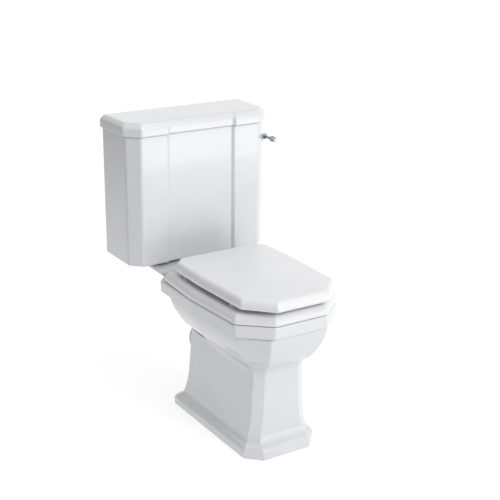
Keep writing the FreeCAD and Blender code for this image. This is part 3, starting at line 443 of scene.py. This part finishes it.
def bowl_steps():
    """Bowl and rim, from the crease over the pedestal to the top of the rim."""
    crease = ring(six_sided(TOP), CREASE - 2)
    depths = [99 + 23 * back_share(point) for point in crease]
    above = [ring(bowl_outline(depth), RIM_BOTTOM - depth)[i] for i, depth in enumerate(depths)]
    steps = [(crease, [44 - 38 * back_share(point) for point in crease]), (above, 14)]
    for depth in (80, 60, 40, 20):
        steps.append((ring(bowl_outline(depth), RIM_BOTTOM - depth), 40))
    steps += [(ring(bowl_outline(0), RIM_BOTTOM - 4), 0.5), (ring(bowl_outline(0), RIM_BOTTOM + 2, 5), 0.5),
              (ring(BAND, RIM_BOTTOM), 1), (ring(RIM, RIM_TOP - 4), 3), (ring(RIM, RIM_TOP, 2), 5)]
    return steps


def basin_steps():
    """Inside of the bowl, from the rim down to the sump."""
    model = ring(RIM, RIM_TOP)
    ovals = [  # height, middle, half width, half length, edge radius
        (RIM_TOP, -66, 124, 168, 9),
        (RIM_TOP - 28, -66, 122, 166, 6),
        (RIM_TOP - 32, -64, 134, 176, 5),
        (340, -60, 124, 166, 20),
        (290, -48, 94, 136, 25),
        (235, -26, 68, 94, 25),
        (190, -4, 52, 60, 20),
        (150, 6, 42, 46, 16),
        (128, 8, 26, 28, 12),
        (124, 8, 6, 6, 0),
    ]
    return [(oval_like(model, z, middle, half_width, half_length), radius)
            for z, middle, half_width, half_length, radius in ovals]


def pan_outside():
    """Foot, moulding, pedestal, bowl, rim and basin, as one skin from the floor to the sump."""
    sections, radii = zip(*pedestal_steps(), *bowl_steps(), *basin_steps())
    return skin("pan_china", sections, radii, steps=3)


def pan_deck():
    """Rear deck that carries the cistern, with the neck that joins it to the bowl behind the basin."""
    neck = mirrored([(62, 84, 6), (62, 166, 14)])
    flare = mirrored([(85, 130, 6), (85, 352, 20)])
    low = mirrored([(100, 150, 10), (96, 366, 22)])
    deck = mirrored([(157, 186, 10), (153, 395, 12)])
    sections = [ring(neck, CREASE - 12), ring(between(neck, flare, 0.25), 285),
                ring(between(neck, flare, 0.6), 332), ring(flare, 378), ring(low, 396),
                ring(deck, DECK_TOP - 12), ring(deck, DECK_TOP), ring(deck, DECK_TOP, 30)]
    return skin("pan_deck", sections, [0, 30, 30, 18, 16, 5, 5, 0], steps=4)


def pan_spigot():
    """Outlet spigot with a bead at its end."""
    profile = [(150, 51, 0), (218, 51, 2), (220, 53, 1), (226, 53, 1.5), (230, 50, 1.5), (230, 43, 1.5),
               (185, 42, 1), (185, 1, 0)]
    return turned("pan_spigot", profile, (0, 0, OUTLET_HEIGHT), "Y")


# ---------------------------------------------------------------- cistern

def cistern_plan(low, high, chamfer):
    """Outline between two corners, with chamfered front corners and a recessed panel in the front."""
    panel_edge = 102
    panel_corner = 110
    panel_depth = 7
    return mirrored([
        (panel_edge, low.y + panel_depth, 6),
        (panel_corner, low.y, 6),
        (high.x - chamfer, low.y, 14),
        (high.x, low.y + chamfer, 14),
        (high.x, high.y, 8),
    ])


def cistern_tank():
    """Tank, open at the top."""
    wall = 10
    floor_top = TANK_LOW.z + 12
    plan = cistern_plan(TANK_LOW, TANK_HIGH, 33)
    sections = [ring(plan, TANK_LOW.z, 22), ring(plan, TANK_LOW.z), ring(plan, TANK_HIGH.z),
                ring(plan, TANK_HIGH.z, wall), ring(plan, floor_top, wall), ring(plan, floor_top, 30)]
    return skin("tank_china", sections, [0, 6, 3, 3, 10, 0])


def cistern_lid():
    """Cover, hollow below, with a chamfer all round its top."""
    low = TANK_HIGH.z + 0.6
    top = COVER_HIGH.z
    hollow_top = low + 20
    plan = cistern_plan(COVER_LOW, COVER_HIGH, 39.5)
    sections = [ring(plan, hollow_top, 34), ring(plan, hollow_top, 20), ring(plan, low, 19),
                ring(plan, low), ring(plan, top - 13), ring(plan, top, 12), ring(plan, top, 34)]
    return skin("cover_china", sections, [0, 6, 2, 3, 14, 10, 0])


# ---------------------------------------------------------------- seat

RING = mirrored([(80, -275, 6), (161, -205, 6), (172, 10, 90), (163, 173, 7), (119, 173, 4),
                 (119, 151, 3)])
RING_MIDDLE = mirrored([(66, -240, 20), (130, -172, 20), (138, -8, 60), (142, 118, 6), (136, 126, 4),
                        (122, 122, 4)])
HOLE = mirrored([(52, -214, 46), (106, -136, 60), (112, -30, 60), (109, 30, 50), (88, 74, 40),
                 (40, 92, 40)])
LID = mirrored([(82, -286, 6), (150, -215, 6), (158, -10, 90), (154, 118, 6), (126, 150, 8)])


def seat_ring():
    """Ring board; a line along its middle keeps its flat faces clear of the notch for the hinge."""
    sections = [ring(RING_MIDDLE, RING_BOTTOM), ring(RING, RING_BOTTOM, 5), ring(RING, RING_BOTTOM),
                ring(RING, RING_SHOULDER), ring(RING, RING_TOP, 12), ring(RING_MIDDLE, RING_TOP),
                ring(HOLE, RING_TOP), ring(HOLE, RING_BOTTOM)]
    return skin("ring_board", sections, [0, 3, 3, 18, 15, 0, 10, 6], steps=6, closed=True)


def seat_lid():
    """Lid board with a bevelled edge and a slightly crowned top."""
    top = ring(LID, LID_TOP, 8.5)
    sections = [ring(LID, LID_BOTTOM + 2, 40), ring(LID, LID_BOTTOM, 12), ring(LID, LID_BOTTOM),
                ring(LID, LID_SHOULDER), top]
    for share in (0.86, 0.7, 0.5, 0.3, 0.1):
        height = LID_TOP + LID_CROWN * (1 - share ** 2)
        sections.append(scaled(top, share, LID_MIDDLE, height))
    return skin("lid_board", sections, [0, 2, 4, 22, 20, 30, 30, 30, 30, 0], steps=6)


def hinge_posts():
    """Two turned posts on the rim, each with an eye on the hinge's axis."""
    posts = []
    for side, x in (("right", POST_X), ("left", -POST_X)):
        profile = [(RIM_TOP, 1, 0), (RIM_TOP, 11, 0.4), (RIM_TOP + 2, 11, 1), (RIM_TOP + 5, 8, 2),
                   (RIM_TOP + 10, 6, 4), (HINGE.z - 8, 5.5, 3), (HINGE.z, 6, 0), (HINGE.z, 1, 0)]
        posts.append(turned(f"hinge_post_{side}", profile, (x, HINGE.y, 0), "Z", 28))
        eye = [(x - 7, 1, 0), (x - 7, 8, 1), (x + 7, 8, 1), (x + 7, 1, 0)]
        posts.append(turned(f"hinge_eye_{side}", eye, (0, HINGE.y, HINGE.z), "X", 28))
    return posts


# ---------------------------------------------------------------- flush lever

def lever_rose():
    """Turned rose on the side of the tank."""
    side = TANK_HIGH.x
    profile = [(side, 1, 0), (side, 17, 0.3), (side + 3.5, 17, 1.5), (side + 6, 14.5, 2),
               (side + 13, 10.5, 5), (side + 15.6, 7, 1.5), (side + 15.6, 1, 0)]
    return turned("rose", profile, (0, LEVER.y, LEVER.z), "X")


def lever_handle():
    """Hub on the spindle, and the arm that runs forward from it to a knob."""
    side = TANK_HIGH.x
    hub_profile = [(side + 17, 1, 0), (side + 17, 8, 1), (side + 20, 9, 1.5), (side + 25, 8.6, 2),
                   (side + 28, 5, 1.5), (side + 28.6, 1, 0)]
    arm_profile = [(-8, 4.6, 0), (4, 5.2, 3), (22, 3.6, 8), (33, 4.4, 2), (35, 7.6, 1.5), (38, 8.8, 3),
                   (44, 9, 3), (50, 7.4, 3), (53, 3, 2), (53, 0.6, 0)]
    hub = turned("handle_hub", hub_profile, (0, LEVER.y, LEVER.z), "X")
    arm = turned("handle_arm", arm_profile, (side + 22, LEVER.y, LEVER.z), "Y")
    for vertex in arm.data.vertices:
        vertex.co.y = 2 * LEVER.y * MM - vertex.co.y
    return hub, arm


# ---------------------------------------------------------------- build

MATERIALS = make_materials()
FIXED = "pan_and_cistern"

dress(pan_outside(), "vitreous_china", FIXED, "pan")
dress(pan_deck(), "vitreous_china", FIXED)
dress(pan_spigot(), "vitreous_china", FIXED)
dress(cistern_tank(), "vitreous_china", FIXED, "cistern_tank")
dress(cistern_lid(), "vitreous_china", "cistern_cover", "cistern_lid")
dress(seat_ring(), "seat_board", "ring", "seat_ring")
dress(seat_lid(), "seat_board", "lid", "seat_lid")
for index, post in enumerate(hinge_posts()):
    dress(post, "chrome", FIXED, *(["hinge_posts"] if index == 0 else []))
dress(lever_rose(), "chrome", FIXED, "lever_rose")
hub, arm = lever_handle()
dress(hub, "chrome", "lever", "lever_handle")
dress(arm, "chrome", "lever")

slots = {row["node"]: row["material_slot"] for row in frame["record"]["subparts"]}
for name, cad in frame["nodes"].items():
    if cad.hide_render:
        continue
    look = "pale_rubber" if name.endswith("_buffers") else slots[name]
    cad.data.materials.clear()
    cad.data.materials.append(MATERIALS[look])


# ---------------------------------------------------------------- floor, light and camera

def floor():
    """Pale round floor, in metres, that turns up into a wall all round."""
    centre_hole = 0.02
    reach = 10
    wall_height = 4.5
    bend = 2.5
    sides = 64
    mesh = bmesh.new()
    path = [Vector((centre_hole, 0, 0)), Vector((reach, 0, 0)), Vector((reach, 0, wall_height))]
    curve = fillet(path, [0, bend, 0], 12)
    rings = []
    for p in curve:
        angles = [2 * math.pi * side / sides for side in range(sides)]
        rings.append([mesh.verts.new((p.x * math.cos(a), p.x * math.sin(a), p.z)) for a in angles])
    for low, high in zip(rings, rings[1:]):
        for i in range(sides):
            j = (i + 1) % sides
            mesh.faces.new((low[i], low[j], high[j], high[i]))
    mesh.faces.new(rings[0])
    piece = finished("floor", mesh)
    piece.data.materials.append(floor_white())


def floor_white():
    """Matt white that glows by itself, and fades to a weak glow away on the left side."""
    dim_from = -1.9
    bright_from = -0.75
    dim_glow = 0.12
    bright_glow = 0.7
    material, shader = principled("floor_white", (0.35, 0.35, 0.35), 0.9)
    shader.inputs["Specular IOR Level"].default_value = 0.1
    shader.inputs["Emission Color"].default_value = (1, 1, 1, 1)
    nodes = material.node_tree.nodes
    links = material.node_tree.links
    place = nodes.new("ShaderNodeTexCoord")
    parts = nodes.new("ShaderNodeSeparateXYZ")
    glow = nodes.new("ShaderNodeMapRange")
    glow.interpolation_type = "SMOOTHSTEP"
    glow.inputs["From Min"].default_value = dim_from
    glow.inputs["From Max"].default_value = bright_from
    glow.inputs["To Min"].default_value = dim_glow
    glow.inputs["To Max"].default_value = bright_glow
    links.new(place.outputs["Object"], parts.inputs["Vector"])
    links.new(parts.outputs["X"], glow.inputs["Value"])
    links.new(glow.outputs["Result"], shader.inputs["Emission Strength"])
    return material


def softbox(name, position, target, size, power):
    """Rectangular lamp that points at a target; metres and watts."""
    light = bpy.data.lights.new(name, "AREA")
    light.shape = "RECTANGLE"
    light.size, light.size_y = size
    light.energy = power
    lamp = bpy.data.objects.new(name, light)
    lamp.location = position
    lamp.rotation_euler = (Vector(target) - Vector(position)).to_track_quat("-Z", "Y").to_euler()
    bpy.context.scene.collection.objects.link(lamp)


def lighting():
    """Even white surroundings, a softbox in front and a weaker one above."""
    world = bpy.data.worlds.new("studio")
    world.use_nodes = True
    world.node_tree.nodes["Background"].inputs["Color"].default_value = (1, 1, 1, 1)
    world.node_tree.nodes["Background"].inputs["Strength"].default_value = 0.85
    bpy.context.scene.world = world
    softbox("front_box", (0.9, -3.6, 2.6), (0, 0, 0.6), (1.6, 1.6), 80)
    softbox("top_box", (0.1, -0.6, 3.2), (0, 0, 0.3), (2.2, 2.2), 14)
    bpy.context.scene.view_settings.view_transform = "Standard"


def panel():
    """Bright sheet on the floor in front, outside the picture, for the glaze to reflect; metres."""
    left = 0.2
    right = 4.5
    near = -2.15
    far = -5
    height = 0.004
    mesh = bmesh.new()
    outline = [(left, near, height), (right, near, height), (right, far, height), (left, far, height)]
    mesh.faces.new([mesh.verts.new(point) for point in outline])
    piece = finished("panel", mesh)
    material, shader = principled("panel_white", (0.9, 0.9, 0.9), 0.9)
    shader.inputs["Emission Color"].default_value = (1, 1, 1, 1)
    shader.inputs["Emission Strength"].default_value = 2.3
    piece.data.materials.append(material)


def camera():
    """Camera at the photo's angle."""
    lens = bpy.data.cameras.new("camera")
    lens.lens = 80.08
    lens.sensor_width = 36
    eye = bpy.data.objects.new("camera", lens)
    position = Vector((-1.5373, -2.4306, 1.5189))
    target = Vector((0.1969, 0.2851, 0.4049))
    turn = (target - position).to_track_quat("-Z", "Y").to_matrix()
    roll = Matrix.Rotation(math.radians(0.52), 3, "Z")
    eye.matrix_world = Matrix.Translation(position) @ (turn @ roll).to_4x4()
    bpy.context.scene.collection.objects.link(eye)
    bpy.context.scene.camera = eye


floor()
panel()
lighting()
camera()
